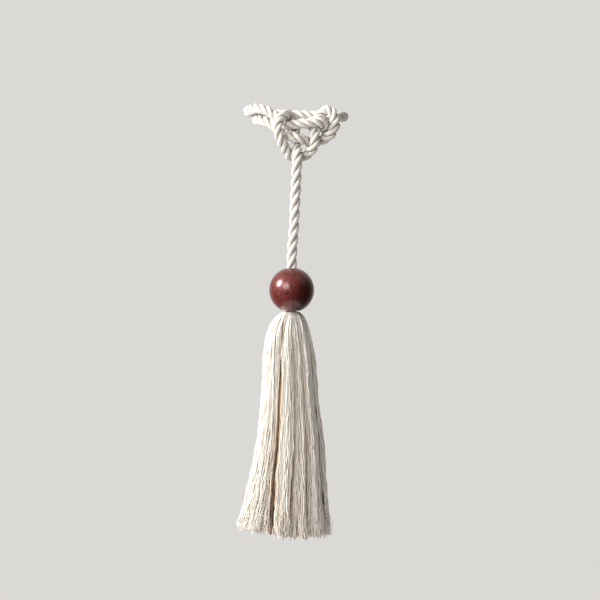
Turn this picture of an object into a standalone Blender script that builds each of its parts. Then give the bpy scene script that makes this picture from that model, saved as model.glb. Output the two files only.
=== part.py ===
"""A curtain tieback: a twisted cotton rope with a turned wooden ball and a tassel of cotton yarn.

Metres, +Z up, +X to the right and -Y towards the room. The origin is the centre of the band,
where the gathered curtain goes through. One rope rises out of the ball, makes the knot in front,
runs twice round the curtain and ends tucked in behind the knot.
"""

import math

import bmesh
import bpy
import numpy as np

MM = 0.001

# Rope
ROPE_DIAMETER = 9.5 * MM
ROPE_SIDES_RESOLUTION = 3
ROPE_LONGEST_STEP = 22.0 * MM
ROPE_BEND_PER_STEP = math.radians(21.0)
ROPE_COLOUR = (0.83, 0.80, 0.75, 1.0)

# Band: two turns round the gathered curtain, the second outside and above the first
INNER_TURN_HALF_WIDTH = 39.8 * MM
INNER_TURN_HALF_DEPTH = 24.0 * MM
OUTER_TURN_HALF_WIDTH = 48.0 * MM
OUTER_TURN_HALF_DEPTH = 32.5 * MM
INNER_TURN_HEIGHTS = (-2.0 * MM, -9.0 * MM)
OUTER_TURN_HEIGHTS = (6.5 * MM, 0.0)
TURN_SQUARENESS = 0.9
TURN_PAST_SIDES = math.radians(14.0)
TURN_POINTS = 11

# Ball
BALL_DIAMETER = 45.0 * MM
BALL_CENTRE = (-4.3 * MM, -48.0 * MM, -175.0 * MM)
BALL_BORE_DIAMETER = 10.3 * MM
BALL_FOOT_RADIUS = 9.0 * MM
BALL_MOUTH_EDGE = 1.0 * MM
BALL_PROFILE_STEPS = 22
BALL_SEGMENTS = 48
BALL_COLOUR = (0.16, 0.025, 0.02, 1.0)

# Skirt
PIECE_GAP = 0.3 * MM
SKIRT_SIDES = 108
SKIRT_DEPTH_RATIO = 0.86
SKIRT_COLOUR = (0.80, 0.74, 0.66, 1.0)

# The rope's way up out of the ball, behind the first crossing and up behind the bar (x, y, z in mm)
RISE = [
    (-4.3, -48.0, -195.6), (-4.3, -48.0, -175.0), (-4.3, -48.0, -152.0), (-4.0, -48.0, -139.0),
    (-2.3, -48.0, -115.0), (-0.9, -49.0, -87.0), (0.3, -52.5, -62.0), (1.0, -55.0, -48.0),
    (1.6, -53.6, -40.0), (0.9, -46.8, -33.2), (0.4, -40.8, -27.2), (0.2, -38.2, -20.5),
    (-0.8, -37.2, -13.6),
]
# Over the bar and down its left side
OVER = [
    (-3.0, -37.6, -6.0), (-6.6, -41.2, -0.6), (-12.2, -49.8, -0.6), (-17.0, -54.6, -5.4),
    (-18.2, -56.0, -13.6), (-15.6, -54.6, -23.6), (-10.8, -48.8, -33.0),
]
# Behind the hanging rope and up the right side
LOOP = [
    (-6.3, -44.1, -39.8), (0.2, -42.6, -42.6), (6.8, -44.0, -41.4), (12.5, -47.0, -38.0),
    (16.8, -50.5, -32.5), (18.8, -51.0, -25.5), (18.7, -47.0, -17.5), (18.5, -41.0, -10.5),
]
# The arch at the knot's right shoulder
ARCH = [
    (21.0, -37.2, -3.6), (26.0, -36.5, 2.6), (31.8, -38.5, 5.4), (37.0, -41.5, 1.6),
    (38.9, -43.5, -6.0), (37.6, -44.9, -13.8), (33.4, -44.9, -20.3), (27.0, -42.0, -24.2),
]
# Across the middle, in front of the hanging rope, and out to the left
CROSSING = [
    (19.5, -40.2, -26.6), (12.0, -42.7, -26.6), (6.0, -50.9, -24.6), (0.0, -53.0, -22.6),
    (-7.0, -49.0, -20.5), (-12.4, -42.8, -19.2), (-17.6, -35.6, -14.6), (-23.2, -30.8, -9.6),
    (-30.0, -26.2, -6.0), (-37.0, -17.2, -3.6),
]
# From the first turn forward through the arch
TUCK = [(37.2, -19.0, -13.5), (33.3, -27.0, -18.0), (29.8, -32.0, -17.6), (28.5, -37.5, -13.8)]
# The bar, leftwards in front of the hanging rope and out to the left
BAR = [
    (28.2, -44.5, -10.0), (25.5, -49.5, -7.9), (19.5, -51.5, -7.3), (12.0, -51.3, -7.9),
    (4.0, -50.0, -9.0), (-3.0, -48.0, -9.8), (-9.0, -45.2, -9.9), (-14.4, -40.7, -7.0),
    (-20.0, -37.4, -2.0), (-27.0, -33.0, 3.8), (-36.0, -26.0, 7.3),
]
# The end, tucked in behind the knot
TAIL = [
    (44.5, -20.0, -0.8), (37.5, -25.5, -2.8), (29.0, -27.0, -6.0), (20.0, -27.0, -8.6),
    (12.0, -27.5, -9.6),
]

# Sections of the skirt: how far below the ball's foot, centre across, half width, groove strength
SKIRT_SECTIONS = [
    {"below": 0.0, "across": -4.9, "half_width": 8.4, "grooves": 0.0},
    {"below": 3.0, "across": -5.2, "half_width": 12.6, "grooves": 0.1},
    {"below": 7.0, "across": -6.2, "half_width": 16.6, "grooves": 0.3},
    {"below": 14.0, "across": -7.2, "half_width": 20.6, "grooves": 0.5},
    {"below": 26.0, "across": -7.8, "half_width": 24.0, "grooves": 0.8},
    {"below": 42.0, "across": -7.2, "half_width": 26.8, "grooves": 1.0},
    {"below": 69.0, "across": -6.5, "half_width": 28.6, "grooves": 1.0},
    {"below": 93.0, "across": -6.5, "half_width": 30.2, "grooves": 1.0},
    {"below": 117.0, "across": -5.8, "half_width": 33.4, "grooves": 1.0},
    {"below": 142.0, "across": -6.6, "half_width": 36.6, "grooves": 1.0},
    {"below": 161.0, "across": -8.4, "half_width": 39.6, "grooves": 1.0},
    {"below": 188.0, "across": -9.6, "half_width": 42.8, "grooves": 1.0},
    {"below": 206.0, "across": -10.8, "half_width": 45.6, "grooves": 1.0},
]
SKIRT_LENGTH = 226.0 * MM
# Partings between the yarn clumps: direction from the front, positive to the right, in degrees
PARTINGS = [
    {"direction": -31.0, "depth": 0.42, "width": 6.5, "drift": -10.0, "bend": 75.0},
    {"direction": 10.0, "depth": 0.12, "width": 6.0, "drift": -4.0, "bend": 0.0},
    {"direction": 33.0, "depth": 0.15, "width": 6.0, "drift": 5.0, "bend": 0.0},
    {"direction": 66.0, "depth": 0.08, "width": 9.0, "drift": 3.0, "bend": 0.0},
    {"direction": 104.0, "depth": 0.12, "width": 8.0, "drift": -5.0, "bend": 0.0},
    {"direction": 147.0, "depth": 0.09, "width": 10.0, "drift": 4.0, "bend": 0.0},
    {"direction": 183.0, "depth": 0.15, "width": 8.0, "drift": 6.0, "bend": 0.0},
    {"direction": 221.0, "depth": 0.08, "width": 9.0, "drift": -6.0, "bend": 0.0},
    {"direction": 262.0, "depth": 0.11, "width": 8.0, "drift": 4.0, "bend": 0.0},
    {"direction": 303.0, "depth": 0.07, "width": 8.0, "drift": -3.0, "bend": 0.0},
]

# The yarn ends, in mm: their usual height above the longest, and how much higher they are at the
# sides and at the left; tufts make the cut uneven all the way round
ENDS_LEVEL = 4.0
ENDS_HIGHER_AT_SIDES = 5.0
ENDS_HIGHER_AT_LEFT = 3.0
END_TUFTS = [
    {"height": 2.2, "count": 9, "turn": 0.6},
    {"height": 1.5, "count": 23, "turn": 1.9},
    {"height": 1.3, "count": 41, "turn": 0.0},
]
# The underside, from the rim inwards: share of the radius, share of the way down to the ends
UNDERSIDE = [(0.93, 0.72), (0.72, 0.90), (0.46, 0.70), (0.20, 0.82)]
END_FLARE = 1.02
SKIRT_SHOULDER_ROWS = 5
SKIRT_BODY_RINGS = 15


def clear_scene():
    for scene_object in list(bpy.data.objects):
        bpy.data.objects.remove(scene_object, do_unlink=True)


def principled(name, colour, roughness, coat=0.0):
    material = bpy.data.materials.new(name)
    material.use_nodes = True
    material.diffuse_color = colour
    shader = material.node_tree.nodes["Principled BSDF"]
    shader.inputs["Base Color"].default_value = colour
    shader.inputs["Roughness"].default_value = roughness
    shader.inputs["Metallic"].default_value = 0.0
    shader.inputs["Coat Weight"].default_value = coat
    return material


def turn_round_curtain(half_width, half_depth, heights):
    """Route points of one turn, from its left side round the back to its right side."""
    points = []
    angles = np.linspace(math.pi + TURN_PAST_SIDES, -TURN_PAST_SIDES, TURN_POINTS)
    for step, angle in enumerate(angles):
        along_x, along_y = math.cos(angle), math.sin(angle)
        x = half_width * math.copysign(abs(along_x) ** TURN_SQUARENESS, along_x)
        y = half_depth * math.copysign(abs(along_y) ** TURN_SQUARENESS, along_y)
        z = heights[0] + (heights[1] - heights[0]) * step / (TURN_POINTS - 1)
        points.append((x, y, z))
    return points


def rope_route():
    """All route points of the rope in metres, from the skirt's head to the tucked end."""
    first_turn = turn_round_curtain(INNER_TURN_HALF_WIDTH, INNER_TURN_HALF_DEPTH, INNER_TURN_HEIGHTS)
    second_turn = turn_round_curtain(OUTER_TURN_HALF_WIDTH, OUTER_TURN_HALF_DEPTH, OUTER_TURN_HEIGHTS)
    by_hand = [np.array(part) * MM for part in (RISE + OVER + LOOP + ARCH + CROSSING, TUCK + BAR, TAIL)]
    return np.concatenate([by_hand[0], first_turn, by_hand[1], second_turn, by_hand[2]])


def smooth_curve(route, samples=6000):
    """A natural cubic spline through the route, as closely spaced points."""
    chords = np.linalg.norm(np.diff(route, axis=0), axis=1)
    knots = np.concatenate([[0.0], np.cumsum(chords)])
    count = len(route)
    system = np.eye(count)
    right_side = np.zeros((count, 3))
    for i in range(1, count - 1):
        system[i, i - 1 : i + 2] = chords[i - 1], 2 * (chords[i - 1] + chords[i]), chords[i]
        slope_after = (route[i + 1] - route[i]) / chords[i]
        slope_before = (route[i] - route[i - 1]) / chords[i - 1]
        right_side[i] = 6 * (slope_after - slope_before)
    curvature = np.linalg.solve(system, right_side)
    places = np.linspace(0.0, knots[-1], samples)
    span = np.clip(np.searchsorted(knots, places, side="right") - 1, 0, count - 2)
    width = chords[span][:, None]
    before = (knots[span + 1] - places)[:, None] / width
    after = (places - knots[span])[:, None] / width
    curved = (before**3 - before) * curvature[span] + (after**3 - after) * curvature[span + 1]
    return before * route[span] + after * route[span + 1] + curved * width**2 / 6


def thinned(curve):
    """Fewer points of the curve: the next one follows a long step or a set amount of bend."""
    kept = [curve[0]]
    run = 0.0
    bend = 0.0
    for before, here, after in zip(curve, curve[1:], curve[2:]):
        incoming = here - before
        outgoing = after - here
        run += np.linalg.norm(incoming)
        cosine = np.dot(incoming, outgoing) / (np.linalg.norm(incoming) * np.linalg.norm(outgoing))
        bend += math.acos(min(1.0, cosine))
        if run >= ROPE_LONGEST_STEP or bend >= ROPE_BEND_PER_STEP:
            kept.append(here)
            run = 0.0
            bend = 0.0
    kept.append(curve[-1])
    return kept


def make_rope():
    data = bpy.data.curves.new("rope", "CURVE")
    data.dimensions = "3D"
    data.bevel_depth = ROPE_DIAMETER / 2
    data.bevel_resolution = ROPE_SIDES_RESOLUTION
    data.use_fill_caps = True
    points = thinned(smooth_curve(rope_route()))
    spline = data.splines.new("POLY")
    spline.points.add(len(points) - 1)
    for spline_point, place in zip(spline.points, points):
        spline_point.co = (*place, 1.0)
    rope = bpy.data.objects.new("rope", data)
    bpy.context.collection.objects.link(rope)
    data.materials.append(principled("cotton_rope", ROPE_COLOUR, 0.85))
    return rope


def ball_profile():
    """Radius and height from the mouth round the outside to the foot, then up the bore."""
    ball_radius = BALL_DIAMETER / 2
    mouth_radius = BALL_BORE_DIAMETER / 2 + BALL_MOUTH_EDGE
    first = math.asin(mouth_radius / ball_radius)
    last = math.pi - math.asin(BALL_FOOT_RADIUS / ball_radius)
    profile = []
    for angle in np.linspace(first, last, BALL_PROFILE_STEPS):
        profile.append((ball_radius * math.sin(angle), ball_radius * math.cos(angle)))
    foot_height = profile[-1][1]
    bore_radius = BALL_BORE_DIAMETER / 2
    profile.append((bore_radius, foot_height))
    profile.append((bore_radius, profile[0][1] - BALL_MOUTH_EDGE))
    return profile


def make_ball():
    shape = bmesh.new()
    rings = []
    for radius, height in ball_profile():
        ring = []
        for side in range(BALL_SEGMENTS):
            angle = 2 * math.pi * side / BALL_SEGMENTS
            ring.append(shape.verts.new((radius * math.cos(angle), radius * math.sin(angle), height)))
        rings.append(ring)
    for upper, lower in zip(rings, rings[1:] + rings[:1]):
        for side in range(BALL_SEGMENTS):
            after = (side + 1) % BALL_SEGMENTS
            shape.faces.new((upper[side], lower[side], lower[after], upper[after]))
    bmesh.ops.recalc_face_normals(shape, faces=shape.faces)
    mesh = bpy.data.meshes.new("ball")
    shape.to_mesh(mesh)
    shape.free()
    mesh.shade_smooth()
    mesh.set_sharp_from_angle(angle=math.radians(35))
    ball = bpy.data.objects.new("ball", mesh)
    ball.location = BALL_CENTRE
    bpy.context.collection.objects.link(ball)
    mesh.materials.append(principled("lacquered_wood", BALL_COLOUR, 0.12, coat=1.0))
    return ball


def section_at(below):
    """Centre, half width and groove strength of the skirt at a depth below the ball's foot, in mm."""
    depths = [row["below"] for row in SKIRT_SECTIONS]
    return [
        np.interp(below, depths, [row[column] for row in SKIRT_SECTIONS])
        for column in ("across", "half_width", "grooves")
    ]


def parting_depth(direction, share):
    """How much of the radius the partings take away in one direction; share runs 0 to 1 down the skirt."""
    taken = 0.0
    for parting in PARTINGS:
        off_middle = share - 0.5
        middle = parting["direction"] + parting["drift"] * off_middle + parting["bend"] * off_middle**2
        off = (direction - middle + 180.0) % 360.0 - 180.0
        taken += parting["depth"] * math.exp(-((off / parting["width"]) ** 2))
    return taken


def ragged_end(direction):
    """Height of the yarn ends above the longest of them, in mm, in one direction."""
    angle = math.radians(direction)
    height = ENDS_LEVEL + ENDS_HIGHER_AT_SIDES * math.sin(angle) ** 2 - ENDS_HIGHER_AT_LEFT * math.sin(angle)
    for tuft in END_TUFTS:
        height += tuft["height"] * math.sin(tuft["count"] * angle + tuft["turn"])
    return max(0.0, height)


def make_skirt():
    ball_x, ball_y, ball_z = BALL_CENTRE
    foot = ball_z - math.sqrt((BALL_DIAMETER / 2) ** 2 - BALL_FOOT_RADIUS**2)
    top = foot - PIECE_GAP
    table_depths = [row["below"] for row in SKIRT_SECTIONS]
    shoulder = table_depths[:SKIRT_SHOULDER_ROWS]
    body = np.linspace(table_depths[SKIRT_SHOULDER_ROWS], table_depths[-1], SKIRT_BODY_RINGS)
    ring_depths = [*shoulder, *body]
    full_length = SKIRT_LENGTH / MM
    directions = [360.0 * side / SKIRT_SIDES for side in range(SKIRT_SIDES)]
    shape = bmesh.new()

    def ring(below, radius_share, end_share):
        """One ring of points; end_share moves it from its own level down to the ragged ends."""
        across, half_width, grooves = section_at(below)
        made = []
        for direction in directions:
            reach = half_width * radius_share
            reach *= 1.0 - grooves * parting_depth(direction, below / full_length)
            depth_below = below + end_share * (full_length - ragged_end(direction) - below)
            x = across + reach * math.sin(math.radians(direction))
            y = -reach * math.cos(math.radians(direction)) * SKIRT_DEPTH_RATIO
            made.append(shape.verts.new((x * MM, ball_y + y * MM, top - depth_below * MM)))
        return made

    rings = [ring(below, 1.0, 0.0) for below in ring_depths]
    rings.append(ring(ring_depths[-1], END_FLARE, 1.0))
    for radius_share, end_share in UNDERSIDE:
        rings.append(ring(ring_depths[-1], radius_share, end_share))
    for upper, lower in zip(rings, rings[1:]):
        for side in range(SKIRT_SIDES):
            after = (side + 1) % SKIRT_SIDES
            shape.faces.new((upper[side], lower[side], lower[after], upper[after]))
    shape.faces.new(rings[0])
    shape.faces.new(rings[-1][::-1])
    bmesh.ops.recalc_face_normals(shape, faces=shape.faces)
    bmesh.ops.triangulate(shape, faces=shape.faces)
    mesh = bpy.data.meshes.new("skirt")
    shape.to_mesh(mesh)
    shape.free()
    mesh.shade_smooth()
    skirt = bpy.data.objects.new("skirt", mesh)
    bpy.context.collection.objects.link(skirt)
    mesh.materials.append(principled("cotton_yarn", SKIRT_COLOUR, 0.8))
    return skirt


clear_scene()
make_rope()
make_ball()
make_skirt()
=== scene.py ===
"""The looks of a curtain tieback: a twisted cotton rope, a lacquered wooden ball and a yarn skirt.

Metres, +Z up, +X to the right and -Y towards the room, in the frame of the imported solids.
"""

import math

import bmesh
import bpy
import numpy as np
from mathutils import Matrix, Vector
from mathutils.bvhtree import BVHTree


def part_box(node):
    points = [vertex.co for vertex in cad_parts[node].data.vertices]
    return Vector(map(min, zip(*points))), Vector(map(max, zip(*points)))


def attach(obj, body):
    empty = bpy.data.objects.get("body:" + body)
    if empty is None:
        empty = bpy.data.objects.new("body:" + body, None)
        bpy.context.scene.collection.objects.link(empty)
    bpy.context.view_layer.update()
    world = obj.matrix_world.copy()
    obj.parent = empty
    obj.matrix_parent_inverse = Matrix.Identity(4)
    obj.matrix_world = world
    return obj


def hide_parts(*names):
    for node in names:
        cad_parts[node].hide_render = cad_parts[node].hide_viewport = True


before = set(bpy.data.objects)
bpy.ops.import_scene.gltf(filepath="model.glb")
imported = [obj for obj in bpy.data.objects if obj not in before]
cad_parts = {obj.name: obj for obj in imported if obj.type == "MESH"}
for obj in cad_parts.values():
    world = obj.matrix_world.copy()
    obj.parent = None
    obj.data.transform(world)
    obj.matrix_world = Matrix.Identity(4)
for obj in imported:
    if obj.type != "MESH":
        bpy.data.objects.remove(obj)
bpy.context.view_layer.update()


# ---- Camera -----------------------------------------------------------------------------------
# Straight in front of the knot and level with the middle of the whole tassel, through a long lens.

LENS = 250.0
SENSOR = 36.0
FRAMED_WIDTH = 0.600
LOOK_ACROSS = 0.004
LOOK_UP = -0.185

ball_low, ball_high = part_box("ball")
BALL_CENTRE = (ball_low + ball_high) / 2
camera_data = bpy.data.cameras.new("camera")
camera_data.lens = LENS
camera_data.sensor_width = SENSOR
camera = bpy.data.objects.new("camera", camera_data)
camera.location = (LOOK_ACROSS, BALL_CENTRE.y - FRAMED_WIDTH * LENS / SENSOR, LOOK_UP)
camera.rotation_euler = (math.radians(90), 0, 0)
bpy.context.scene.collection.objects.link(camera)
bpy.context.scene.camera = camera
bpy.context.scene.view_settings.view_transform = "Standard"


# ---- Rope -------------------------------------------------------------------------------------
# One length of off-white cotton rope, three strands laid together right-handed. It rises out of
# the ball, makes the knot, goes twice round the curtain with the knot's bar in between, and ends
# tucked in behind. The tassel's weight draws the hanging stretch a little longer in its lay.

MM = 0.001
STRANDS = 3
STRAND_HALF_WIDTH = 2.75 * MM
STRAND_HALF_DEPTH = 2.6 * MM
STRAND_OUT = 2.65 * MM
STRAND_SIDES = 16
HANGING_PITCH = 37.0 * MM
KNOTTED_PITCH = 26.0 * MM
HANGING_LENGTH = 150.0 * MM
ROPE_STEP = 1.0 * MM
SPLINE_SAMPLES = 6000
FIBRE_LEAN = 1.9
FIBRES_ACROSS = 9.0
FIBRES_ALONG = 150.0
FIBRES_BY_STRAND = 7.3
YARNS_ACROSS = 2.6
YARNS_ALONG = 40.0
YARNS_BY_STRAND = 5.1
GROOVE_BOTTOM = -0.75
GROOVE_TOP = 0.25
GROOVE_PAINTED_SHADE = 0.95
FIBRE_TINT = 0.5
TINT_STARTS = -0.15
FIBRE_RELIEF = 0.5
YARN_RELIEF = 0.8
ROPE_BUMP = 0.4 * MM
ROPE_LIGHT = (0.785, 0.757, 0.717, 1.0)
ROPE_DEEP = (0.38, 0.30, 0.215, 1.0)

# Each turn round the curtain: half width, half depth, first and last height, all in mm.
INNER_TURN = (39.8, 24.0, -2.0, -9.0)
OUTER_TURN = (48.0, 32.5, 6.5, 0.0)
TURN_SQUARENESS = 0.9
TURN_PAST_SIDES = math.radians(14.0)
TURN_POINTS = 11

# The rest of the rope's way, in mm, in the order in which the rope follows it.
RISE = [
    (-4.3, -48.0, -195.6), (-4.3, -48.0, -175.0), (-4.3, -48.0, -152.0), (-4.0, -48.0, -139.0),
    (-2.3, -48.0, -115.0), (-0.9, -49.0, -87.0), (0.3, -52.5, -62.0), (1.0, -55.0, -48.0),
    (1.6, -53.6, -40.0), (0.9, -46.8, -33.2), (0.4, -40.8, -27.2), (0.2, -38.2, -20.5),
    (-0.8, -37.2, -13.6),
]
OVER = [
    (-3.0, -37.6, -6.0), (-6.6, -41.2, -0.6), (-12.2, -49.8, -0.6), (-17.0, -54.6, -5.4),
    (-18.2, -56.0, -13.6), (-15.6, -54.6, -23.6), (-10.8, -48.8, -33.0),
]
LOOP = [
    (-6.3, -44.1, -39.8), (0.2, -42.6, -42.6), (6.8, -44.0, -41.4), (12.5, -47.0, -38.0),
    (16.8, -50.5, -32.5), (18.8, -51.0, -25.5), (18.7, -47.0, -17.5), (18.5, -41.0, -10.5),
]
ARCH = [
    (21.0, -37.2, -3.6), (26.0, -36.5, 2.6), (31.8, -38.5, 5.4), (37.0, -41.5, 1.6),
    (38.9, -43.5, -6.0), (37.6, -44.9, -13.8), (33.4, -44.9, -20.3), (27.0, -42.0, -24.2),
]
CROSSING = [
    (19.5, -40.2, -26.6), (12.0, -42.7, -26.6), (6.0, -50.9, -24.6), (0.0, -53.0, -22.6),
    (-7.0, -49.0, -20.5), (-12.4, -42.8, -19.2), (-17.6, -35.6, -14.6), (-23.2, -30.8, -9.6),
    (-30.0, -26.2, -6.0), (-37.0, -17.2, -3.6),
]
TUCK = [(37.2, -19.0, -13.5), (33.3, -27.0, -18.0), (29.8, -32.0, -17.6), (28.5, -37.5, -13.8)]
BAR = [
    (28.2, -44.5, -10.0), (25.5, -49.5, -7.9), (19.5, -51.5, -7.3), (12.0, -51.3, -7.9),
    (4.0, -50.0, -9.0), (-3.0, -48.0, -9.8), (-9.0, -45.2, -9.9), (-14.4, -40.7, -7.0),
    (-20.0, -37.4, -2.0), (-27.0, -33.0, 3.8), (-36.0, -26.0, 7.3),
]
TAIL = [
    (44.5, -20.0, -0.8), (37.5, -25.5, -2.8), (29.0, -27.0, -6.0), (20.0, -27.0, -8.6),
    (12.0, -27.5, -9.6),
]


def turn_round_curtain(half_width, half_depth, first_height, last_height):
    """Route points of one turn, in mm, from its left side round the back to its right side."""
    points = []
    angles = np.linspace(math.pi + TURN_PAST_SIDES, -TURN_PAST_SIDES, TURN_POINTS)
    for step, angle in enumerate(angles):
        along_x, along_y = math.cos(angle), math.sin(angle)
        x = half_width * math.copysign(abs(along_x) ** TURN_SQUARENESS, along_x)
        y = half_depth * math.copysign(abs(along_y) ** TURN_SQUARENESS, along_y)
        z = first_height + (last_height - first_height) * step / (TURN_POINTS - 1)
        points.append((x, y, z))
    return points


def smooth_curve(route, step):
    """Evenly spaced points on a natural cubic spline through the route."""
    chords = np.linalg.norm(np.diff(route, axis=0), axis=1)
    knots = np.concatenate([[0.0], np.cumsum(chords)])
    count = len(route)
    system = np.eye(count)
    right_side = np.zeros((count, 3))
    for i in range(1, count - 1):
        system[i, i - 1 : i + 2] = chords[i - 1], 2 * (chords[i - 1] + chords[i]), chords[i]
        slope_after = (route[i + 1] - route[i]) / chords[i]
        slope_before = (route[i] - route[i - 1]) / chords[i - 1]
        right_side[i] = 6 * (slope_after - slope_before)
    curvature = np.linalg.solve(system, right_side)
    places = np.linspace(0.0, knots[-1], SPLINE_SAMPLES)
    span = np.clip(np.searchsorted(knots, places, side="right") - 1, 0, count - 2)
    width = chords[span][:, None]
    before = (knots[span + 1] - places)[:, None] / width
    after = (places - knots[span])[:, None] / width
    curved = (before**3 - before) * curvature[span] + (after**3 - after) * curvature[span + 1]
    curve = before * route[span] + after * route[span + 1] + curved * width**2 / 6
    run = np.concatenate([[0.0], np.cumsum(np.linalg.norm(np.diff(curve, axis=0), axis=1))])
    even = np.linspace(0.0, run[-1], round(run[-1] / step) + 1)
    return np.stack([np.interp(even, run, curve[:, axis]) for axis in range(3)], axis=1)


class Graph:
    """A node tree that nodes are added to by type, settings and sockets."""

    def __init__(self, tree):
        self.tree = tree
        self.nodes = tree.nodes
        self.nodes.clear()

    def add(self, kind, settings=None, sockets=None, out=0):
        """Adds one node and returns one of its outputs."""
        node = self.nodes.new(kind)
        for name, value in (settings or {}).items():
            setattr(node, name, value)
        for name, value in (sockets or {}).items():
            self.feed(node.inputs[name], value)
        return Wire(self, node.outputs[out]) if len(node.outputs) else node

    def feed(self, socket, value):
        if isinstance(value, Wire):
            self.tree.links.new(value.socket, socket)
        else:
            socket.default_value = value


class Wire:
    """One output socket, usable as a number in Python expressions."""

    def __init__(self, graph, socket):
        self.graph = graph
        self.socket = socket

    def other(self, name):
        """Another output of the same node."""
        return Wire(self.graph, self.socket.node.outputs[name])

    def maths(self, operation, *terms):
        settings = {"operation": operation}
        return self.graph.add("ShaderNodeMath", settings, dict(enumerate(terms)))

    def __add__(self, term):
        return self.maths("ADD", self, term)

    def __radd__(self, term):
        return self.maths("ADD", term, self)

    def __sub__(self, term):
        return self.maths("SUBTRACT", self, term)

    def __rsub__(self, term):
        return self.maths("SUBTRACT", term, self)

    def __mul__(self, term):
        return self.maths("MULTIPLY", self, term)

    def __rmul__(self, term):
        return self.maths("MULTIPLY", term, self)

    def __truediv__(self, term):
        return self.maths("DIVIDE", self, term)

    def __pow__(self, term):
        return self.maths("POWER", self, term)

    def sine(self):
        return self.maths("SINE", self)

    def cosine(self):
        return self.maths("COSINE", self)

    def whole(self):
        return self.maths("FLOOR", self)

    def at_most(self, term):
        return self.maths("MINIMUM", self, term)

    def at_least(self, term):
        return self.maths("MAXIMUM", self, term)

    def ramp(self, low, high):
        """0 at low and below, 1 at high and above, smooth in between."""
        settings = {"interpolation_type": "SMOOTHSTEP"}
        sockets = {"Value": self, "From Min": low, "From Max": high}
        return self.graph.add("ShaderNodeMapRange", settings, sockets)


def new_material(name):
    """A material with an empty node tree, and the graph to fill it."""
    material = bpy.data.materials.new(name)
    material.use_nodes = True
    return material, Graph(material.node_tree)


def mixed(graph, factor, first, second):
    """One colour turning into another."""
    settings = {"data_type": "RGBA"}
    return graph.add("ShaderNodeMix", settings, {"Factor": factor, 6: first, 7: second}, out=2)


def surface(graph, sockets):
    """The Principled shader and the material's output."""
    shader = graph.add("ShaderNodeBsdfPrincipled", None, sockets)
    graph.add("ShaderNodeOutputMaterial", None, {"Surface": shader})


def geometry_graph(name, inputs):
    """A Geometry Nodes tree with named inputs: its graph, and a wire for each input by name."""
    tree = bpy.data.node_groups.new(name, "GeometryNodeTree")
    tree.interface.new_socket("Geometry", in_out="INPUT", socket_type="NodeSocketGeometry")
    for label, kind in inputs.items():
        tree.interface.new_socket(label, in_out="INPUT", socket_type="NodeSocket" + kind)
    tree.interface.new_socket("Geometry", in_out="OUTPUT", socket_type="NodeSocketGeometry")
    graph = Graph(tree)
    source = graph.add("NodeGroupInput")
    return graph, {label: source.other(label) for label in ["Geometry", *inputs]}


def polylines(name, paths, attributes=None):
    """A mesh of edges that follow the paths, with a number for each point in each attribute."""
    points = np.concatenate(paths)
    edges = []
    first = 0
    for path in paths:
        edges += [(i, i + 1) for i in range(first, first + len(path) - 1)]
        first += len(path)
    mesh = bpy.data.meshes.new(name)
    mesh.from_pydata(points.tolist(), edges, [])
    for label, values in (attributes or {}).items():
        mesh.attributes.new(label, "FLOAT", "POINT").data.foreach_set("value", values)
    lines = bpy.data.objects.new(name, mesh)
    bpy.context.scene.collection.objects.link(lines)
    return lines


def grow(lines, tree, values):
    """Runs a tree on an object's lines and leaves the result as its plain mesh."""
    modifier = lines.modifiers.new(tree.name, "NODES")
    modifier.node_group = tree
    for item in tree.interface.items_tree:
        if item.in_out == "INPUT" and item.name in values:
            modifier[item.identifier] = values[item.name]
    graph = bpy.context.evaluated_depsgraph_get()
    evaluated = lines.evaluated_get(graph)
    mesh = bpy.data.meshes.new_from_object(evaluated, preserve_all_data_layers=True, depsgraph=graph)
    guide = lines.data
    lines.modifiers.remove(modifier)
    lines.data = mesh
    mesh.name = lines.name
    bpy.data.meshes.remove(guide)
    return lines


def twisted_cotton():
    """Soft cotton yarn in strands: fine fibres nearly along the rope, with painted shade in the grooves."""
    material, graph = new_material("cotton_rope")
    around = graph.add("ShaderNodeAttribute", {"attribute_name": "around"}, out="Vector")
    place = graph.add("ShaderNodeSeparateXYZ", None, {0: around}, out="X")
    x, y, strand = place, place.other("Y"), place.other("Z")
    along = graph.add("ShaderNodeAttribute", {"attribute_name": "along"}, out="Fac")
    turned = graph.add("ShaderNodeAttribute", {"attribute_name": "turned"}, out="Fac")
    lean = turned * FIBRE_LEAN
    across = x * lean.cosine() - y * lean.sine()
    up = x * lean.sine() + y * lean.cosine()
    fibre_place = graph.add(
        "ShaderNodeCombineXYZ", None,
        {
            "X": across * FIBRES_ACROSS + strand * FIBRES_BY_STRAND,
            "Y": up * FIBRES_ACROSS,
            "Z": along * FIBRES_ALONG,
        },
    )
    fibres = graph.add(
        "ShaderNodeTexNoise", None, {"Vector": fibre_place, "Scale": 1.0, "Detail": 4.0, "Roughness": 0.65}
    )
    yarn_place = graph.add(
        "ShaderNodeCombineXYZ", None,
        {
            "X": across * YARNS_ACROSS + strand * YARNS_BY_STRAND,
            "Y": up * YARNS_ACROSS,
            "Z": along * YARNS_ALONG,
        },
    )
    yarns = graph.add(
        "ShaderNodeTexNoise", None, {"Vector": yarn_place, "Scale": 1.0, "Detail": 2.0, "Roughness": 0.5}
    )
    # Painted shade: each strand's inner side, down in the grooves between the strands, turns darker.
    painted_groove_shade = 1.0 - x.ramp(GROOVE_BOTTOM, GROOVE_TOP)
    tint = (fibres - 0.5) * FIBRE_TINT + (yarns - 0.5) * FIBRE_TINT + painted_groove_shade * GROOVE_PAINTED_SHADE
    colour = mixed(graph, tint.ramp(TINT_STARTS, 1.0), ROPE_LIGHT, ROPE_DEEP)
    height = fibres * FIBRE_RELIEF + yarns * YARN_RELIEF
    bump = graph.add("ShaderNodeBump", None, {"Height": height, "Strength": 0.7, "Distance": ROPE_BUMP})
    surface(graph, {"Base Color": colour, "Roughness": 0.86, "Normal": bump, "Sheen Weight": 0.25})
    return material


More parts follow.
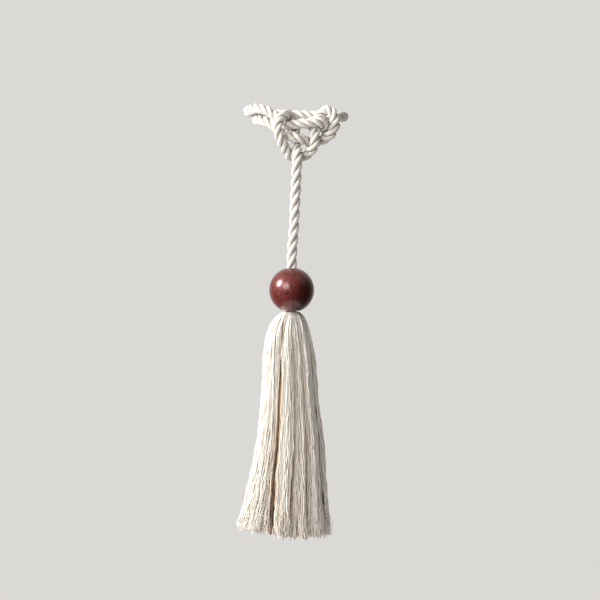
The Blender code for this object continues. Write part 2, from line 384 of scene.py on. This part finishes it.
def strand_tree():
    """Strands laid round a path: a ring of flattened circles swept along it, turning as they go."""
    graph, given = geometry_graph(
        "rope strands",
        {
            "Strands": "Int", "Sides": "Int", "Half width": "Float", "Half depth": "Float",
            "Out": "Float", "Hanging pitch": "Float", "Knotted pitch": "Float",
            "Hanging length": "Float", "Material": "Material",
        },
    )
    path = graph.add("GeometryNodeMeshToCurve", None, {"Mesh": given["Geometry"]})
    run = graph.add("GeometryNodeSplineParameter", out="Length")
    hanging = run.at_most(given["Hanging length"])
    knotted = (run - given["Hanging length"]).at_least(0.0)
    turned = (hanging / given["Hanging pitch"] + knotted / given["Knotted pitch"]) * (2 * math.pi)
    for label, value in (("along", run), ("turned", turned)):
        path = graph.add(
            "GeometryNodeStoreNamedAttribute", {"data_type": "FLOAT", "domain": "POINT"},
            {"Geometry": path, "Name": label, "Value": value},
        )
    path = graph.add("GeometryNodeSetCurveTilt", None, {"Curve": path, "Tilt": turned})
    circle = graph.add(
        "GeometryNodeCurvePrimitiveCircle", {"mode": "RADIUS"}, {"Resolution": given["Sides"], "Radius": 1.0}
    )
    seat = graph.add("GeometryNodeInputPosition")
    circle = graph.add(
        "GeometryNodeStoreNamedAttribute", {"data_type": "FLOAT_VECTOR", "domain": "POINT"},
        {"Geometry": circle, "Name": "around", "Value": seat},
    )
    size = graph.add(
        "ShaderNodeCombineXYZ", None, {"X": given["Half depth"], "Y": given["Half width"], "Z": 1.0}
    )
    place = graph.add("ShaderNodeCombineXYZ", None, {"X": given["Out"]})
    circle = graph.add(
        "GeometryNodeTransform", None, {"Geometry": circle, "Scale": size, "Translation": place}
    )
    number = graph.add("GeometryNodeInputIndex")
    angle = number * (2 * math.pi) / given["Strands"]
    centres = graph.add("GeometryNodePoints", None, {"Count": given["Strands"]})
    facing = graph.add("ShaderNodeCombineXYZ", None, {"Z": angle})
    ring = graph.add(
        "GeometryNodeInstanceOnPoints", None, {"Points": centres, "Instance": circle, "Rotation": facing}
    )
    ring = graph.add("GeometryNodeRealizeInstances", None, {"Geometry": ring})
    point = graph.add("GeometryNodeInputIndex")
    strand = (point / given["Sides"]).whole()
    stored = graph.add("GeometryNodeInputNamedAttribute", {"data_type": "FLOAT_VECTOR"}, {"Name": "around"})
    parts = graph.add("ShaderNodeSeparateXYZ", None, {0: stored})
    numbered = graph.add("ShaderNodeCombineXYZ", None, {"X": parts, "Y": parts.other("Y"), "Z": strand})
    ring = graph.add(
        "GeometryNodeStoreNamedAttribute", {"data_type": "FLOAT_VECTOR", "domain": "POINT"},
        {"Geometry": ring, "Name": "around", "Value": numbered},
    )
    tube = graph.add(
        "GeometryNodeCurveToMesh", None, {"Curve": path, "Profile Curve": ring, "Fill Caps": True}
    )
    tube = graph.add("GeometryNodeRealizeInstances", None, {"Geometry": tube})
    tube = graph.add("GeometryNodeSetMaterial", None, {"Geometry": tube, "Material": given["Material"]})
    graph.add("NodeGroupOutput", None, {"Geometry": tube})
    return graph.tree


knot_route = RISE + OVER + LOOP + ARCH + CROSSING
inner_turn = turn_round_curtain(*INNER_TURN)
outer_turn = turn_round_curtain(*OUTER_TURN)
rope_route = np.array(knot_route + inner_turn + TUCK + BAR + outer_turn + TAIL) * MM
rope_path = smooth_curve(rope_route, ROPE_STEP)

rope = grow(
    polylines("twisted_rope", [rope_path]),
    strand_tree(),
    {
        "Strands": STRANDS, "Sides": STRAND_SIDES, "Half width": STRAND_HALF_WIDTH,
        "Half depth": STRAND_HALF_DEPTH, "Out": STRAND_OUT, "Hanging pitch": HANGING_PITCH,
        "Knotted pitch": KNOTTED_PITCH, "Hanging length": HANGING_LENGTH, "Material": twisted_cotton(),
    },
)
rope.data.shade_smooth()
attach(rope, "root")
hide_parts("rope")


# ---- Ball -------------------------------------------------------------------------------------
# A turned hardwood ball with the rope through its bore, lacquered to a high gloss over a dark
# red-brown stain, with painted shade darkening it towards the right and down. Its fine pores show
# as short darker streaks.

BALL_RADIUS = (ball_high.x - ball_low.x) / 2
BALL_BORE_RADIUS = 5.15 * MM
BALL_MOUTH_ROUND = 0.9 * MM
BALL_FOOT_RADIUS = 9.0 * MM
BALL_FOOT_EASE = 0.25 * MM
BALL_FOOT_DROP = 0.05 * MM
BALL_SEGMENTS = 160
BALL_RINGS = 84
BORE_RINGS = 12
MOUTH_RINGS = 5
FIGURE_SCALE = 420.0
FIGURE_LENGTH = 0.25
RING_SCALE = 40.0
RING_SHARE = 0.2
GRAIN_FROM = 0.2
GRAIN_FULL = 0.85
PORE_SCALE = 900.0
PORE_LENGTH = 0.2
PORE_FROM = 0.46
PORE_FULL = 0.66
PORE_DARKNESS = 0.8
PORE_BUMP = 0.2 * MM
PAINTED_SHADE_UPWARD = 0.4
PAINTED_SHADE_BLEED = 0.5
PAINTED_SHADE_STARTS = 0.0
PAINTED_SHADE_FULL = 0.65
PAINTED_SHADE_STRENGTH = 0.82
WOOD_LIGHT = (0.220, 0.034, 0.029, 1.0)
WOOD_MIDDLE = (0.163, 0.024, 0.0205, 1.0)
WOOD_DARK = (0.030, 0.006, 0.005, 1.0)


def lacquered_wood():
    """Red-brown stained wood under clear lacquer, with painted shade towards its right side."""
    material, graph = new_material("lacquered_wood")
    place = graph.add("ShaderNodeTexCoord", out="Object")
    centred = graph.add(
        "ShaderNodeMapping", {"vector_type": "TEXTURE"}, {"Vector": place, "Location": tuple(BALL_CENTRE)}
    )
    stretched = graph.add("ShaderNodeMapping", None, {"Vector": centred, "Scale": (1.0, 1.0, FIGURE_LENGTH)})
    figure = graph.add(
        "ShaderNodeTexNoise", None,
        {"Vector": stretched, "Scale": FIGURE_SCALE, "Detail": 5.0, "Roughness": 0.6},
    )
    rings = graph.add(
        "ShaderNodeTexWave", {"wave_type": "BANDS", "bands_direction": "X"},
        {"Vector": stretched, "Scale": RING_SCALE, "Distortion": 9.0, "Detail": 3.0, "Detail Scale": 2.5},
        out="Fac",
    )
    streaked = graph.add("ShaderNodeMapping", None, {"Vector": centred, "Scale": (1.0, 1.0, PORE_LENGTH)})
    pores = graph.add(
        "ShaderNodeTexNoise", None,
        {"Vector": streaked, "Scale": PORE_SCALE, "Detail": 2.0, "Roughness": 0.5},
    )
    grain = figure * (1.0 - RING_SHARE) + rings * RING_SHARE
    grain = mixed(graph, grain.ramp(GRAIN_FROM, GRAIN_FULL), WOOD_MIDDLE, WOOD_LIGHT)
    # Painted shade: the wood colour darkens towards the right and downward, on the side away from the key
    # light.
    across = graph.add("ShaderNodeSeparateXYZ", None, {0: centred}, out="X")
    upward = across.other("Z")
    painted_shade = (across - upward * PAINTED_SHADE_UPWARD) / BALL_RADIUS + (figure - 0.5) * PAINTED_SHADE_BLEED
    painted_shade = painted_shade.ramp(PAINTED_SHADE_STARTS, PAINTED_SHADE_FULL) * PAINTED_SHADE_STRENGTH
    grain = mixed(graph, painted_shade, grain, WOOD_DARK)
    colour = mixed(graph, pores.ramp(PORE_FROM, PORE_FULL) * PORE_DARKNESS, grain, WOOD_DARK)
    bump = graph.add("ShaderNodeBump", None, {"Height": pores, "Strength": 0.25, "Distance": PORE_BUMP})
    surface(
        graph,
        {
            "Base Color": colour, "Roughness": 0.42, "Metallic": 0.22, "Normal": bump, "Coat Weight": 1.0,
            "Coat Roughness": 0.19, "Coat IOR": 1.5, "Specular IOR Level": 0.4,
        },
    )
    return material


def turned_ball():
    """The ball as turned: round outside, rounded mouth, flat foot, straight bore."""
    profile = []
    mouth_radius = BALL_BORE_RADIUS + BALL_MOUTH_ROUND
    first = math.asin(mouth_radius / BALL_RADIUS)
    last = math.pi - math.asin(BALL_FOOT_RADIUS / BALL_RADIUS)
    mouth_height = BALL_RADIUS * math.cos(first)
    for angle in np.linspace(first, last, BALL_RINGS):
        profile.append((BALL_RADIUS * math.sin(angle), BALL_RADIUS * math.cos(angle)))
    foot_height = profile[-1][1]
    profile.append((BALL_FOOT_RADIUS - BALL_FOOT_EASE, foot_height - BALL_FOOT_DROP))
    profile.append((BALL_BORE_RADIUS, foot_height - BALL_FOOT_DROP))
    bore_length = mouth_height - BALL_MOUTH_ROUND - foot_height
    for share in np.linspace(0.0, 1.0, BORE_RINGS):
        profile.append((BALL_BORE_RADIUS, foot_height + share * bore_length))
    for angle in np.linspace(math.radians(15), math.radians(75), MOUTH_RINGS):
        out = BALL_MOUTH_ROUND * (1 - math.cos(angle))
        up = BALL_MOUTH_ROUND * math.sin(angle)
        profile.append((BALL_BORE_RADIUS + out, mouth_height - BALL_MOUTH_ROUND + up))
    shape = bmesh.new()
    rings = []
    for radius, height in profile:
        ring = []
        for side in range(BALL_SEGMENTS):
            angle = 2 * math.pi * side / BALL_SEGMENTS
            ring.append(shape.verts.new((radius * math.cos(angle), radius * math.sin(angle), height)))
        rings.append(ring)
    for upper, lower in zip(rings, rings[1:] + rings[:1]):
        for side in range(BALL_SEGMENTS):
            after = (side + 1) % BALL_SEGMENTS
            shape.faces.new((upper[side], lower[side], lower[after], upper[after]))
    bmesh.ops.recalc_face_normals(shape, faces=shape.faces)
    seat = (BALL_CENTRE.x, BALL_CENTRE.y, ball_high.z - mouth_height)
    bmesh.ops.translate(shape, verts=shape.verts, vec=seat)
    mesh = bpy.data.meshes.new("wooden_ball")
    shape.to_mesh(mesh)
    shape.free()
    mesh.shade_smooth()
    mesh.set_sharp_from_angle(angle=math.radians(40))
    mesh.materials.append(lacquered_wood())
    return mesh


ball = bpy.data.objects.new("wooden_ball", turned_ball())
bpy.context.scene.collection.objects.link(ball)
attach(ball, "root")
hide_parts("ball")


# ---- Skirt ------------------------------------------------------------------------------------
# Loose cream cotton yarn, gathered under the ball's foot and hanging free in layers of locks. One
# parting is deep enough to show the layers inside. The yarns keep the kinks they had from the hank
# and are cut by eye, so the lower edge is ragged and ends in fine wisps.

YARN_SIDES = 3
YARN_UNEVEN = 0.06
KINK_LENGTH = 14.0 * MM

# "clear" is half the deep parting's width in degrees, "reach" the share of the form's radius that
# the locks lie at, and "start" the share of the length where the yarns begin. Directions go round
# the skirt in degrees, 0 in front and 90 at the right. The last five but "start" are in mm.
LAYER_COLUMNS = (
    "name", "clear", "reach", "from", "to", "locks", "yarns",
    "points", "loose", "radius", "kink", "start", "longer",
)
LAYER_ROWS = [
    ("outer_left", 12.0, 0.975, 160, 340, 54, 12, 50, 1.7, 0.54, 4.2, 0.0, 0.0),
    ("outer_right", 12.0, 0.975, -20, 160, 54, 12, 50, 1.7, 0.54, 4.2, 0.0, 0.0),
    ("middle", 9.0, 0.86, 0, 360, 60, 10, 48, 2.4, 0.60, 4.6, 0.0, 0.0),
    ("inner", 0.0, 0.58, 0, 360, 44, 16, 32, 5.2, 0.60, 4.6, 0.0, 0.0),
    ("core", 0.0, 0.26, 0, 360, 16, 15, 24, 6.5, 0.60, 4.6, 0.0, 0.0),
    ("wisps", 12.0, 0.97, 0, 360, 90, 9, 56, 2.6, 0.26, 6.5, 0.88, 1.5),
]
LOCK_LAYERS = [dict(zip(LAYER_COLUMNS, row)) for row in LAYER_ROWS]
OUTER_REACH = 0.9

LOCK_JITTER = 2.5
LOCK_SWAY = 5.0
SWAY_TURN = 3.5
LOCK_CRIMP = (0.3, 1.3)
CRIMP_TURNS = (5.0, 10.0)
CRIMP_GROWS = 4.0
LOCK_DRAWN_IN = 0.94
LOCK_INSET = 1.4 * MM
LOCK_SEED = 11
YARN_SEED_STEP = 100
NECK_DEPTHS = (0.4 * MM, 2.2 * MM, 6.0 * MM, 11.0 * MM)
NECK_TUCK = 0.62
TUCK_DEPTH = 1.0 * MM
GUIDE_FIRST = 18.0 * MM
GUIDE_LAST = 19.0 * MM
GUIDE_STEPS = 24
FORM_CORE = 8.0 * MM
SKIRT_LEFTWARD = 3.0 * MM

# How far above the longest yarn the locks end, in mm: in front, how much more at both sides, how
# much more at the left and less at the right, and by how much at random.
END_FRONT = -1.0
END_SIDES = 5.0
END_LEFT = 3.0
END_RAGGED = 7.0

# How the yarns of one lock spread as they hang, as shares of the lock's looseness.
SPREAD_NECK = 0.12
SPREAD_SOON = 0.75
SPREAD_SOON_RATE = 5.0
SPREAD_SLOWLY = 0.25
FRAY_FROM = 0.86
FRAY_SPREAD = 0.7
STRAY_FROM = 0.93

PARTING_DIRECTION = -31.0
PARTING_DRIFT = -10.0
PARTING_BEND = 75.0
PARTING_STARTS = 0.13
PARTING_OPEN = 0.22
PARTING_LEFT_SHARE = 0.65
PARTING_SHADE_WIDTH = 8.0
PARTING_SHADE_OUTSIDE = 0.12
FOLD_DIRECTION = 17.0
FOLD_WIDTH = 8.0
FOLD_DEPTH = 0.13
FLARE_STARTS = 0.75
FLARE_LEFT = 0.14
HOLLOW_SPAN = 13.0
HOLLOW_PAINTED_SHADE = 2.4

CREVICE_REACH = 4.0 * MM
YARN_SOFTNESS = 0.32
SHOULDER_HEIGHT = 32.0 * MM
SHOULDER_RISE = 2.0
INSIDE_SHADE = 1.1
MOTTLE_SCALE = 260.0
PAINTED_DEPTH_SHADE = 0.9
OWN_TINT = 0.25
MOTTLE_TINT = 0.4
CREVICE_OPEN = 0.55
YARN_TWIST = 4200.0
TWIST_APART = 40.0
TWIST_BUMP = 0.2 * MM
YARN_LIGHT = (0.95, 0.925, 0.885, 1.0)
YARN_DEEP = (0.88, 0.77, 0.64, 1.0)
YARN_CREVICE_SHADE = (0.84, 0.71, 0.53, 1.0)
YARN_SHADED = (0.57, 0.34, 0.155, 1.0)

skirt_low, skirt_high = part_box("skirt")
SKIRT_LENGTH = skirt_high.z - skirt_low.z
SKIRT_MIDDLE = Vector((BALL_CENTRE.x - SKIRT_LEFTWARD, BALL_CENTRE.y, skirt_high.z))


def loose_yarn():
    """Softly twisted cotton yarn, a little different from one to the next, with painted shade inside."""
    material, graph = new_material("cotton_yarn")
    own = graph.add("ShaderNodeAttribute", {"attribute_name": "own"}, out="Fac")
    along = graph.add("ShaderNodeAttribute", {"attribute_name": "along"}, out="Fac")
    depth = graph.add("ShaderNodeAttribute", {"attribute_name": "depth"}, out="Fac")
    parted = graph.add("ShaderNodeAttribute", {"attribute_name": "parted"}, out="Fac")
    place = graph.add("ShaderNodeTexCoord", out="Object")
    mottle = graph.add("ShaderNodeTexNoise", None, {"Vector": place, "Scale": MOTTLE_SCALE, "Detail": 3.0})
    # Painted shade: yarns of the inner layers are coloured darker and browner; own and mottle vary the tone
    # at random.
    tone_and_painted_shade = depth * PAINTED_DEPTH_SHADE + own * OWN_TINT + (mottle - 0.5) * MOTTLE_TINT
    colour = mixed(graph, tone_and_painted_shade.ramp(0.0, 1.0), YARN_LIGHT, YARN_DEEP)
    # Painted shade: where ambient occlusion finds crevices among the yarns, the colour turns to a warm
    # shade.
    occlusion = graph.add("ShaderNodeAmbientOcclusion", {"samples": 4}, {"Distance": CREVICE_REACH}, out="AO")
    colour = mixed(graph, occlusion.ramp(0.0, CREVICE_OPEN), YARN_CREVICE_SHADE, colour)
    # Painted shade: the yarns in the deep parting and in hollows take a dark warm brown.
    colour = mixed(graph, parted, colour, YARN_SHADED)
    twist = (along * YARN_TWIST + own * TWIST_APART).sine()
    outward = graph.add(
        "ShaderNodeMapping", {"vector_type": "TEXTURE"}, {"Vector": place, "Location": tuple(SKIRT_MIDDLE)}
    )
    outward = graph.add("ShaderNodeVectorMath", {"operation": "MULTIPLY"}, {0: outward, 1: (1.0, 1.0, 0.0)})
    outward = graph.add("ShaderNodeVectorMath", {"operation": "NORMALIZE"}, {0: outward})
    height = graph.add("ShaderNodeSeparateXYZ", None, {0: place}, out="Z")
    up = height.ramp(skirt_high.z - SHOULDER_HEIGHT, skirt_high.z) * SHOULDER_RISE
    rise = graph.add("ShaderNodeCombineXYZ", None, {"Z": up})
    outward = graph.add("ShaderNodeVectorMath", {"operation": "ADD"}, {0: outward, 1: rise})
    own_facing = graph.add("ShaderNodeNewGeometry", out="Normal")
    facing = graph.add(
        "ShaderNodeMix", {"data_type": "VECTOR"}, {"Factor": YARN_SOFTNESS, 4: own_facing, 5: outward}, out=1
    )
    facing = graph.add("ShaderNodeVectorMath", {"operation": "NORMALIZE"}, {0: facing})
    bump = graph.add(
        "ShaderNodeBump", None, {"Height": twist, "Strength": 0.35, "Distance": TWIST_BUMP, "Normal": facing}
    )
    surface(graph, {"Base Color": colour, "Roughness": 0.8, "Normal": bump, "Sheen Weight": 0.2})
    return material


def yarn_tree():
    """Each guide line becomes a lock of yarns: copies spread about it, kinked, cut to uneven lengths."""
    graph, given = geometry_graph(
        "yarn locks",
        {
            "Yarns": "Int", "Points": "Int", "Sides": "Int", "Looseness": "Float", "Radius": "Float",
            "Kink": "Float", "Kink length": "Float", "Uneven": "Float", "Start": "Float", "Seed": "Int",
            "Material": "Material",
        },
    )
    lines = graph.add("GeometryNodeMeshToCurve", None, {"Mesh": given["Geometry"]})
    lines = graph.add(
        "GeometryNodeResampleCurve", {"mode": "COUNT"}, {"Curve": lines, "Count": given["Points"]}
    )
    copies = graph.add(
        "GeometryNodeDuplicateElements", {"domain": "SPLINE"}, {"Geometry": lines, "Amount": given["Yarns"]}
    )
    seed = given["Seed"]
    yarn = graph.add("GeometryNodeInputIndex")

    def chance(low, high, extra):
        settings = {"data_type": "FLOAT"}
        sockets = {2: low, 3: high, "ID": yarn, "Seed": seed + extra}
        return graph.add("FunctionNodeRandomValue", settings, sockets, out=1)

    for label, low, high, extra in (
        ("own", 0.0, 1.0, 1), ("angle", 0.0, 2 * math.pi, 2), ("spread", 0.0, 1.0, 3), ("cut", 0.0, 1.0, 4),
    ):
        copies = graph.add(
            "GeometryNodeStoreNamedAttribute", {"data_type": "FLOAT", "domain": "CURVE"},
            {"Geometry": copies, "Name": label, "Value": chance(low, high, extra)},
        )

    def named(label):
        return graph.add("GeometryNodeInputNamedAttribute", {"data_type": "FLOAT"}, {"Name": label})

    share = graph.add("GeometryNodeSplineParameter", out="Factor")
    run = share.other("Length")
    copies = graph.add(
        "GeometryNodeStoreNamedAttribute", {"data_type": "FLOAT", "domain": "POINT"},
        {"Geometry": copies, "Name": "along", "Value": run},
    )
    soon = (share * SPREAD_SOON_RATE).at_most(1.0)
    opening = soon * SPREAD_SOON + share * SPREAD_SLOWLY + SPREAD_NECK
    opening = opening + share.ramp(FRAY_FROM, 1.0) * FRAY_SPREAD
    stray = 1.0 + named("cut").ramp(STRAY_FROM, 1.0)
    reach = (named("spread") ** 0.5) * given["Looseness"] * opening * stray
    turned = named("angle")
    offset = graph.add(
        "ShaderNodeCombineXYZ", None, {"X": turned.cosine() * reach, "Y": turned.sine() * reach}
    )
    wave_place = graph.add(
        "ShaderNodeCombineXYZ", None,
        {"X": named("own") * 37.0, "Y": named("spread") * 23.0, "Z": run / given["Kink length"]},
    )
    kinks = graph.add(
        "ShaderNodeTexNoise", None, {"Vector": wave_place, "Scale": 1.0, "Detail": 2.0}, out="Color"
    )
    centred = graph.add("ShaderNodeVectorMath", {"operation": "SUBTRACT"}, {0: kinks, 1: (0.5, 0.5, 0.5)})
    strength = given["Kink"] * opening
    kinked = graph.add("ShaderNodeVectorMath", {"operation": "SCALE"}, {0: centred, "Scale": strength})
    moved = graph.add("ShaderNodeVectorMath", {"operation": "ADD"}, {0: offset, 1: kinked})
    copies = graph.add("GeometryNodeSetPosition", None, {"Geometry": copies, "Offset": moved})
    left = 1.0 - (named("cut") ** 2.0) * given["Uneven"]
    copies = graph.add(
        "GeometryNodeTrimCurve", {"mode": "FACTOR"}, {"Curve": copies, "Start": given["Start"], "End": left}
    )
    thin = graph.add(
        "GeometryNodeCurvePrimitiveCircle", {"mode": "RADIUS"},
        {"Resolution": given["Sides"], "Radius": given["Radius"]},
    )
    tubes = graph.add(
        "GeometryNodeCurveToMesh", None, {"Curve": copies, "Profile Curve": thin, "Fill Caps": True}
    )
    tubes = graph.add("GeometryNodeRealizeInstances", None, {"Geometry": tubes})
    tubes = graph.add("GeometryNodeSetMaterial", None, {"Geometry": tubes, "Material": given["Material"]})
    graph.add("NodeGroupOutput", None, {"Geometry": tubes})
    return graph.tree


skirt_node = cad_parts["skirt"]
form = BVHTree.FromPolygons(
    [v.co for v in skirt_node.data.vertices], [tuple(p.vertices) for p in skirt_node.data.polygons]
)


def skirt_axis(height):
    """The middle of the skirt's section at a height."""
    start = Vector((BALL_CENTRE.x, BALL_CENTRE.y, height))
    left = form.ray_cast(start, Vector((-1, 0, 0)))[0]
    right = form.ray_cast(start, Vector((1, 0, 0)))[0]
    return Vector(((left.x + right.x) / 2, BALL_CENTRE.y, height))


def facing_out(angle):
    """The level direction at an angle."""
    direction = math.radians(angle)
    return Vector((math.sin(direction), -math.cos(direction), 0))


def turned_from(angle, other):
    """How far an angle is past another one, from -180 to 180 degrees."""
    return (angle - other + 180.0) % 360.0 - 180.0


def form_radius(axis, angle):
    """How far the skirt's form reaches from its middle in a direction."""
    edge = form.ray_cast(axis, facing_out(angle))[0]
    return (edge - axis).length if edge else FORM_CORE


def parting_at(share):
    """Direction of the deep parting at a share of the skirt's length, and how far it is open there."""
    opened = min(1.0, max(0.0, (share - PARTING_STARTS) / (PARTING_OPEN - PARTING_STARTS)))
    off_middle = share - 0.5
    return PARTING_DIRECTION + PARTING_DRIFT * off_middle + PARTING_BEND * off_middle**2, opened


def end_height(direction, rng):
    """How far above the longest yarn end a lock ends, in mm: higher at the sides, most at the left."""
    across = math.sin(math.radians(direction))
    return END_FRONT + END_SIDES * across**2 - END_LEFT * across + rng.uniform(0.0, END_RAGGED)


def lie_of_lock(layer, axis, share, angle, side):
    """A lock's angle once it is clear of the deep parting, its distance from the middle, its painted shade.
    """
    outer = layer["reach"] > OUTER_REACH
    parting, opened = parting_at(share)
    off = turned_from(angle, parting)
    clear = layer["clear"] * opened * (1.0 if side > 0 else PARTING_LEFT_SHARE)
    if off * side < 2 * clear and abs(off) < 90:
        angle += side * (clear - off * side / 2)
    measured = angle
    if outer and abs(turned_from(angle, parting)) < HOLLOW_SPAN * opened:
        measured = parting + side * HOLLOW_SPAN * opened
    radius = form_radius(axis, measured)
    beside = (form_radius(axis, angle - HOLLOW_SPAN) + form_radius(axis, angle + HOLLOW_SPAN)) / 2
    hollow = max(0.0, 1.0 - radius / beside)
    # Painted shade: yarns near the deep parting and in hollows of the form are painted darker and browner.
    near = math.exp(-((off / PARTING_SHADE_WIDTH) ** 2)) * opened
    if outer:
        fold = FOLD_DEPTH * math.exp(-(((angle - FOLD_DIRECTION) / FOLD_WIDTH) ** 2)) * opened
        radius *= 1.0 - fold
        hollow += fold
        flare = max(0.0, (share - FLARE_STARTS) / (1.0 - FLARE_STARTS)) ** 2
        radius *= 1.0 + FLARE_LEFT * flare * max(0.0, -math.sin(math.radians(angle)))
        near *= PARTING_SHADE_OUTSIDE
    return angle, radius, min(1.0, near + hollow * HOLLOW_PAINTED_SHADE)


def lock_guides(layer, seed):
    """Guide lines of one layer of locks, down inside the skirt's form."""
    rng = np.random.default_rng(seed)
    lower = np.linspace(GUIDE_FIRST, SKIRT_LENGTH - GUIDE_LAST, GUIDE_STEPS)
    depths = np.concatenate([NECK_DEPTHS, lower])
    axes = [skirt_axis(skirt_high.z - depth) for depth in depths]
    paths = []
    shades = []
    partings = []
    span = layer["to"] - layer["from"]
    for lock in range(layer["locks"]):
        middle = layer["from"] + span * (lock + 0.5) / layer["locks"]
        middle += rng.uniform(-LOCK_JITTER, LOCK_JITTER)
        sway = rng.uniform(-LOCK_SWAY, LOCK_SWAY)
        phase = rng.uniform(0, 2 * math.pi)
        crimp = rng.uniform(*LOCK_CRIMP)
        crimp_turns = rng.uniform(*CRIMP_TURNS)
        reach = layer["reach"] * rng.uniform(LOCK_DRAWN_IN, 1.0)
        side = math.copysign(1.0, turned_from(middle, PARTING_DIRECTION))
        path = []
        for depth, axis in zip(depths, axes):
            share = depth / SKIRT_LENGTH
            angle = middle + sway * share * math.sin(SWAY_TURN * share + phase)
            waves = math.sin(2 * math.pi * crimp_turns * share + phase)
            angle += crimp * min(1.0, share * CRIMP_GROWS) * waves
            angle, radius, painted_shade_share = lie_of_lock(layer, axis, share, angle, side)
            tucked = NECK_TUCK if depth < TUCK_DEPTH else 1.0
            path.append(axis + facing_out(angle) * max(0.0, radius * reach * tucked - LOCK_INSET))
            # Painted shade: the deeper a layer lies, the darker its yarns are painted.
            shades.append((1 - reach) * INSIDE_SHADE)
            partings.append(painted_shade_share)
        last = (path[-1] - path[-2]).normalized()
        end = SKIRT_LENGTH - depths[-1] - end_height(middle, rng) * MM + layer["longer"] * MM
        for step in (0.5, 1.0):
            path.append(path[len(depths) - 1] + last * end * step)
            shades.append(shades[-1])
            partings.append(partings[-1])
        paths.append(np.array(path))
    return paths, {"depth": np.array(shades), "parted": np.array(partings)}


yarn_locks = yarn_tree()
yarn_finish = loose_yarn()
for number, layer in enumerate(LOCK_LAYERS):
    paths, attributes = lock_guides(layer, seed=LOCK_SEED + number)
    piece = grow(
        polylines("yarn_skirt_" + layer["name"], paths, attributes),
        yarn_locks,
        {
            "Yarns": layer["yarns"], "Points": layer["points"], "Sides": YARN_SIDES,
            "Looseness": layer["loose"] * MM, "Radius": layer["radius"] * MM, "Kink": layer["kink"] * MM,
            "Kink length": KINK_LENGTH, "Uneven": YARN_UNEVEN, "Start": layer["start"],
            "Seed": YARN_SEED_STEP * number, "Material": yarn_finish,
        },
    )
    piece.data.shade_smooth()
    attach(piece, "root")
    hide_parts("skirt")


# ---- Studio -----------------------------------------------------------------------------------
# A plain pale floor well below the tassel, a small bright key light from the left, a broad soft
# one from the front left and two weak fills from below. The surround is pale, and reflections see
# it darker in front and brighter behind.

FLOOR_RADIUS = 0.9
FLOOR_BELOW = 1.1
FLOOR_PALE = (0.80, 0.80, 0.79, 1.0)
FLOOR_PALER = (0.84, 0.84, 0.83, 1.0)
KEY_WHITE = (1.0, 0.985, 0.955)
SOFT_WHITE = (1.0, 0.98, 0.95)
LEFT_SPAN = (-0.3, 1.0)
BACK_SPAN = (0.2, 1.0)
TOP_SPAN = (0.1, 0.9)
SURROUND_DARK = 0.11
SURROUND_LEFT = 0.22
SURROUND_BACK = 0.28
SURROUND_TOP = 0.34
SHINE_DARK = 0.01
SHINE_LEFT = 0.08
SHINE_BACK = 0.45
SHINE_TOP = 0.35
SURROUND_COLOUR = (1.0, 0.955, 0.90, 1.0)
BACKDROP_COLOUR = (0.71, 0.695, 0.67, 1.0)

shape = bmesh.new()
bmesh.ops.create_circle(shape, cap_ends=True, segments=96, radius=FLOOR_RADIUS)
bmesh.ops.translate(shape, verts=shape.verts, vec=(0, BALL_CENTRE.y, skirt_low.z - FLOOR_BELOW))
floor_mesh = bpy.data.meshes.new("floor")
shape.to_mesh(floor_mesh)
shape.free()
floor = bpy.data.objects.new("floor", floor_mesh)
bpy.context.scene.collection.objects.link(floor)
floor_finish, graph = new_material("pale_floor")
grit = graph.add("ShaderNodeTexNoise", None, {"Scale": 8.0, "Detail": 2.0})
surface(graph, {"Base Color": mixed(graph, grit, FLOOR_PALE, FLOOR_PALER), "Roughness": 0.9})
floor_mesh.materials.append(floor_finish)


def soft_light(name, direction, distance, size, power, colour, shines=True):
    """A round light that looks at the tassel's ball from a direction."""
    data = bpy.data.lights.new(name, "AREA")
    data.shape = "DISK"
    data.size = size
    data.energy = power
    data.color = colour
    lamp = bpy.data.objects.new(name, data)
    lamp.visible_glossy = shines
    lamp.location = BALL_CENTRE + Vector(direction).normalized() * distance
    lamp.rotation_euler = Vector(direction).to_track_quat("Z", "Y").to_euler()
    bpy.context.scene.collection.objects.link(lamp)


soft_light("key", (-0.86, -0.22, 0.47), 1.5, 0.66, 29.0, KEY_WHITE)
soft_light("front_left", (-0.49, -0.80, 0.34), 1.7, 0.95, 14.5, SOFT_WHITE)
soft_light("low_fill", (0.50, -0.62, -0.60), 0.9, 0.5, 1.5, SOFT_WHITE, shines=False)
soft_light("left_fill", (-0.85, -0.45, -0.60), 0.9, 0.5, 1.6, SOFT_WHITE, shines=False)

world = bpy.data.worlds.new("surround")
world.use_nodes = True
bpy.context.scene.world = world
graph = Graph(world.node_tree)
seen = graph.add("ShaderNodeLightPath", out="Is Camera Ray")
towards = graph.add("ShaderNodeTexCoord", out="Generated")
rightward = graph.add("ShaderNodeSeparateXYZ", None, {0: towards}, out="X")
backward = rightward.other("Y")
upward = rightward.other("Z")
left = (rightward * -1.0).ramp(*LEFT_SPAN)
back = backward.ramp(*BACK_SPAN)
top = upward.ramp(*TOP_SPAN)
room = SURROUND_DARK + SURROUND_LEFT * left + SURROUND_BACK * back + SURROUND_TOP * top
shine = SHINE_DARK + SHINE_LEFT * left + SHINE_BACK * back + SHINE_TOP * top
room = room + (shine - room) * seen.other("Is Glossy Ray")
strength = room + (1.0 - room) * seen
tint = mixed(graph, seen, SURROUND_COLOUR, BACKDROP_COLOUR)
glow = graph.add("ShaderNodeBackground", None, {"Color": tint, "Strength": strength})
graph.add("ShaderNodeOutputWorld", None, {"Surface": glow})
